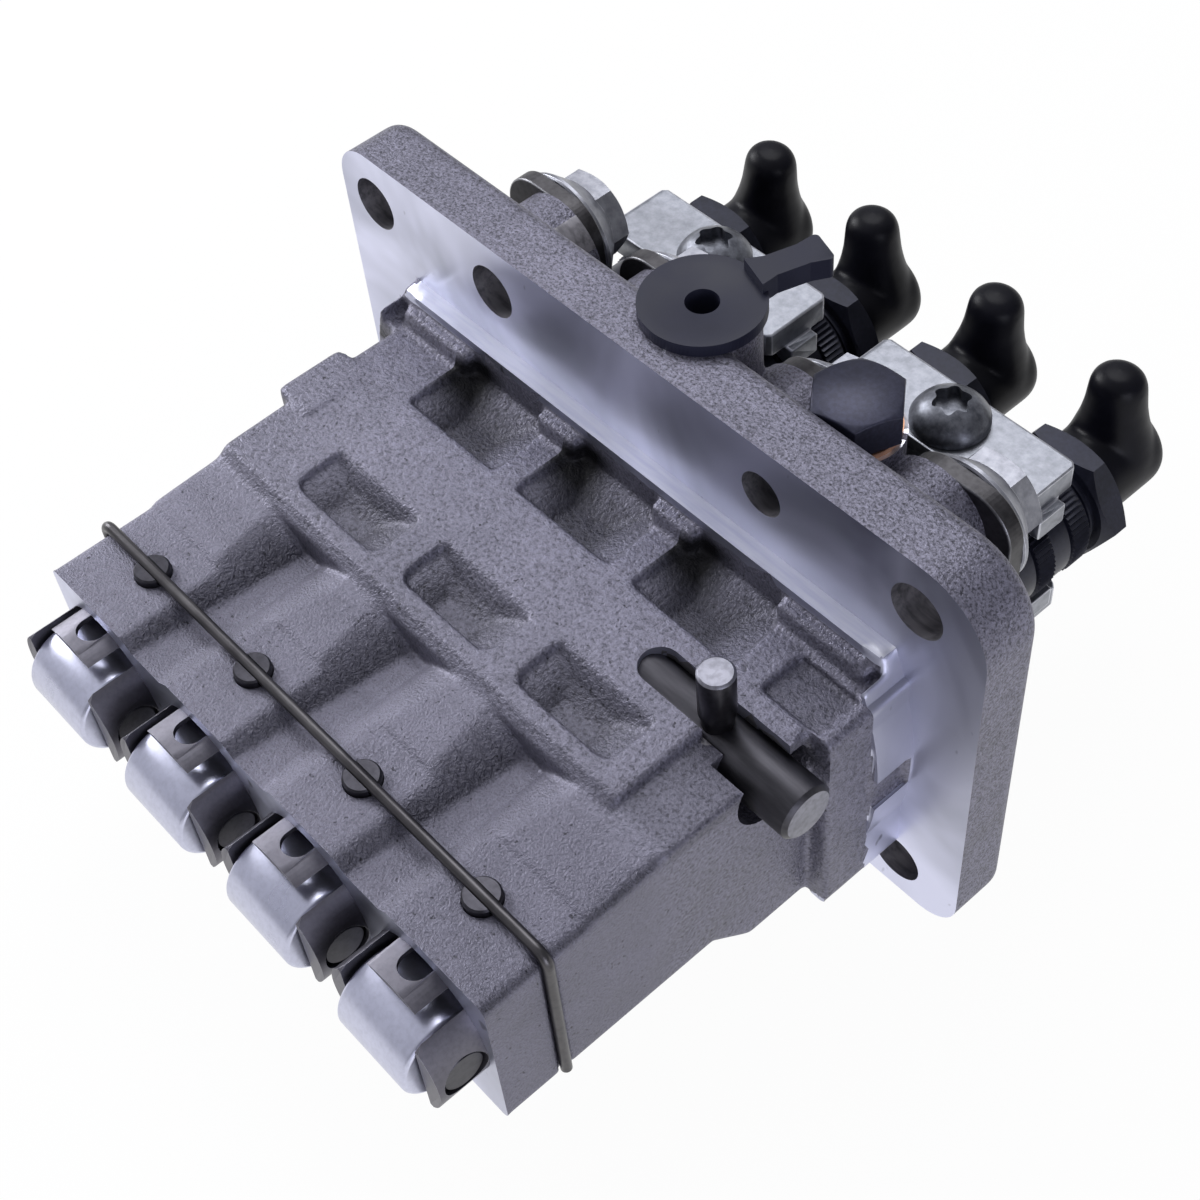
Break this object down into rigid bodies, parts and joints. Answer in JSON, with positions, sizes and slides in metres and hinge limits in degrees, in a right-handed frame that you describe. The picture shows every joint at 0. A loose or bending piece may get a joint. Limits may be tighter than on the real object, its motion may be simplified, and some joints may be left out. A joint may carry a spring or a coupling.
{
  "type": "diesel injection pump",
  "caption": "Flange-mounted inline diesel injection pump with roller tappets, control rack, delivery valve holders and capped outlets",
  "frame": {"origin": "centre of the four corner bolt holes, on the machined mounting face", "axes": "+Y delivery side, along the plungers; -Y camshaft side; X along the row of elements, +X towards the rack's end; +Z out of the face that shows the rack pin and the fuel inlet"},
  "size_m": [0.1483, 0.1711, 0.0895],
  "materials": {
    "cast_housing": "sand-cast aluminium, machined on the mounting face",
    "zinc_plated": "zinc-plated steel",
    "black_oxide": "black oxide on steel, satin",
    "dark_steel": "hardened and phosphated steel, satin",
    "hardened_steel": "ground hardened steel",
    "barrel_steel": "machined steel, lightly oiled",
    "spring_steel": "spring steel, oiled",
    "copper": "soft copper",
    "cap_rubber": "soft black rubber, slightly glossy",
    "seal_rubber": "nitrile rubber",
    "inlet_plastic": "matt black plastic"
  },
  "bodies": {
    "pump_body": {"housing": "cast_housing", "clamp_bolts": "zinc_plated", "barrel_seals": "seal_rubber", "valve_seats": "hardened_steel", "valve_gaskets": "copper", "valve_springs": "spring_steel", "upper_spring_seats": "spring_steel", "guide_pins": "dark_steel", "guide_pin_wire": "dark_steel", "lock_plates": "zinc_plated", "lock_screws": "zinc_plated", "inlet_cap": "inlet_plastic", "bleed_plug": "black_oxide", "bleed_washer": "copper", "barrel_1": "barrel_steel", "barrel_2": "barrel_steel", "barrel_3": "barrel_steel", "barrel_4": "barrel_steel", "delivery_holder_1": "black_oxide", "delivery_holder_2": "black_oxide", "delivery_holder_3": "black_oxide", "delivery_holder_4": "black_oxide", "outlet_cap_1": "cap_rubber", "outlet_cap_2": "cap_rubber", "outlet_cap_3": "cap_rubber", "outlet_cap_4": "cap_rubber", "plunger_spring_1": "spring_steel", "plunger_spring_2": "spring_steel", "plunger_spring_3": "spring_steel", "plunger_spring_4": "spring_steel"},
    "rack": {"control_rack": "dark_steel", "rack_drive_pin": "hardened_steel"},
    "tappet_body_1": {"tappet_1": "dark_steel", "roller_pin_1": "hardened_steel", "lower_spring_seat_1": "spring_steel"},
    "roller_body_1": {"roller_1": "hardened_steel"},
    "plunger_body_1": {"plunger_1": "hardened_steel"},
    "sleeve_body_1": {"control_sleeve_1": "dark_steel"},
    "valve_body_1": {"delivery_valve_1": "hardened_steel"},
    "tappet_body_2": {"tappet_2": "dark_steel", "roller_pin_2": "hardened_steel", "lower_spring_seat_2": "spring_steel"},
    "roller_body_2": {"roller_2": "hardened_steel"},
    "plunger_body_2": {"plunger_2": "hardened_steel"},
    "sleeve_body_2": {"control_sleeve_2": "dark_steel"},
    "valve_body_2": {"delivery_valve_2": "hardened_steel"},
    "tappet_body_3": {"tappet_3": "dark_steel", "roller_pin_3": "hardened_steel", "lower_spring_seat_3": "spring_steel"},
    "roller_body_3": {"roller_3": "hardened_steel"},
    "plunger_body_3": {"plunger_3": "hardened_steel"},
    "sleeve_body_3": {"control_sleeve_3": "dark_steel"},
    "valve_body_3": {"delivery_valve_3": "hardened_steel"},
    "tappet_body_4": {"tappet_4": "dark_steel", "roller_pin_4": "hardened_steel", "lower_spring_seat_4": "spring_steel"},
    "roller_body_4": {"roller_4": "hardened_steel"},
    "plunger_body_4": {"plunger_4": "hardened_steel"},
    "sleeve_body_4": {"control_sleeve_4": "dark_steel"},
    "valve_body_4": {"delivery_valve_4": "hardened_steel"}
  },
  "joints": [
    {"name": "rack_slide", "type": "slide", "parent": "pump_body", "child": "rack", "axis": [1, 0, 0], "range_m": [-0.011, 0.005]},
    {"name": "tappet_1_lift", "type": "slide", "parent": "pump_body", "child": "tappet_body_1", "axis": [0, 1, 0], "range_m": [0, 0.008], "stiffness_N_per_m": 8000, "springref_m": -0.01, "deforming": ["plunger_spring_1"]},
    {"name": "roller_1_spin", "type": "hinge", "parent": "tappet_body_1", "child": "roller_body_1", "pos_m": [-0.03925, -0.084, -0.00275], "axis": [1, 0, 0], "continuous": true},
    {"name": "plunger_1_turn", "type": "hinge", "parent": "tappet_body_1", "child": "plunger_body_1", "pos_m": [-0.03925, -0.043, -0.00275], "axis": [0, 1, 0], "range_deg": [-71, 33]},
    {"name": "control_sleeve_1_turn", "type": "hinge", "parent": "pump_body", "child": "sleeve_body_1", "pos_m": [-0.03925, -0.0244, -0.00275], "axis": [0, 1, 0], "range_deg": [-71, 33]},
    {"name": "delivery_valve_1_lift", "type": "slide", "parent": "pump_body", "child": "valve_body_1", "axis": [0, 1, 0], "range_m": [0, 0.002], "stiffness_N_per_m": 2000, "springref_m": -0.003, "deforming": ["valve_springs"]},
    {"name": "tappet_2_lift", "type": "slide", "parent": "pump_body", "child": "tappet_body_2", "axis": [0, 1, 0], "range_m": [0, 0.008], "stiffness_N_per_m": 8000, "springref_m": -0.01, "deforming": ["plunger_spring_2"]},
    {"name": "roller_2_spin", "type": "hinge", "parent": "tappet_body_2", "child": "roller_body_2", "pos_m": [-0.01125, -0.084, -0.00275], "axis": [1, 0, 0], "continuous": true},
    {"name": "plunger_2_turn", "type": "hinge", "parent": "tappet_body_2", "child": "plunger_body_2", "pos_m": [-0.01125, -0.043, -0.00275], "axis": [0, 1, 0], "range_deg": [-71, 33]},
    {"name": "control_sleeve_2_turn", "type": "hinge", "parent": "pump_body", "child": "sleeve_body_2", "pos_m": [-0.01125, -0.0244, -0.00275], "axis": [0, 1, 0], "range_deg": [-71, 33]},
    {"name": "delivery_valve_2_lift", "type": "slide", "parent": "pump_body", "child": "valve_body_2", "axis": [0, 1, 0], "range_m": [0, 0.002], "stiffness_N_per_m": 2000, "springref_m": -0.003},
    {"name": "tappet_3_lift", "type": "slide", "parent": "pump_body", "child": "tappet_body_3", "axis": [0, 1, 0], "range_m": [0, 0.008], "stiffness_N_per_m": 8000, "springref_m": -0.01, "deforming": ["plunger_spring_3"]},
    {"name": "roller_3_spin", "type": "hinge", "parent": "tappet_body_3", "child": "roller_body_3", "pos_m": [0.01675, -0.084, -0.00275], "axis": [1, 0, 0], "continuous": true},
    {"name": "plunger_3_turn", "type": "hinge", "parent": "tappet_body_3", "child": "plunger_body_3", "pos_m": [0.01675, -0.043, -0.00275], "axis": [0, 1, 0], "range_deg": [-71, 33]},
    {"name": "control_sleeve_3_turn", "type": "hinge", "parent": "pump_body", "child": "sleeve_body_3", "pos_m": [0.01675, -0.0244, -0.00275], "axis": [0, 1, 0], "range_deg": [-71, 33]},
    {"name": "delivery_valve_3_lift", "type": "slide", "parent": "pump_body", "child": "valve_body_3", "axis": [0, 1, 0], "range_m": [0, 0.002], "stiffness_N_per_m": 2000, "springref_m": -0.003},
    {"name": "tappet_4_lift", "type": "slide", "parent": "pump_body", "child": "tappet_body_4", "axis": [0, 1, 0], "range_m": [0, 0.008], "stiffness_N_per_m": 8000, "springref_m": -0.01, "deforming": ["plunger_spring_4"]},
    {"name": "roller_4_spin", "type": "hinge", "parent": "tappet_body_4", "child": "roller_body_4", "pos_m": [0.04475, -0.084, -0.00275], "axis": [1, 0, 0], "continuous": true},
    {"name": "plunger_4_turn", "type": "hinge", "parent": "tappet_body_4", "child": "plunger_body_4", "pos_m": [0.04475, -0.043, -0.00275], "axis": [0, 1, 0], "range_deg": [-71, 33]},
    {"name": "control_sleeve_4_turn", "type": "hinge", "parent": "pump_body", "child": "sleeve_body_4", "pos_m": [0.04475, -0.0244, -0.00275], "axis": [0, 1, 0], "range_deg": [-71, 33]},
    {"name": "delivery_valve_4_lift", "type": "slide", "parent": "pump_body", "child": "valve_body_4", "axis": [0, 1, 0], "range_m": [0, 0.002], "stiffness_N_per_m": 2000, "springref_m": -0.003}
  ],
  "couplings": [
    {"joint": "plunger_1_turn", "follows": "rack_slide", "rad_per_m": 112.2},
    {"joint": "control_sleeve_1_turn", "follows": "rack_slide", "rad_per_m": 112.2},
    {"joint": "plunger_2_turn", "follows": "rack_slide", "rad_per_m": 112.2},
    {"joint": "control_sleeve_2_turn", "follows": "rack_slide", "rad_per_m": 112.2},
    {"joint": "plunger_3_turn", "follows": "rack_slide", "rad_per_m": 112.2},
    {"joint": "control_sleeve_3_turn", "follows": "rack_slide", "rad_per_m": 112.2},
    {"joint": "plunger_4_turn", "follows": "rack_slide", "rad_per_m": 112.2},
    {"joint": "control_sleeve_4_turn", "follows": "rack_slide", "rad_per_m": 112.2}
  ]
}
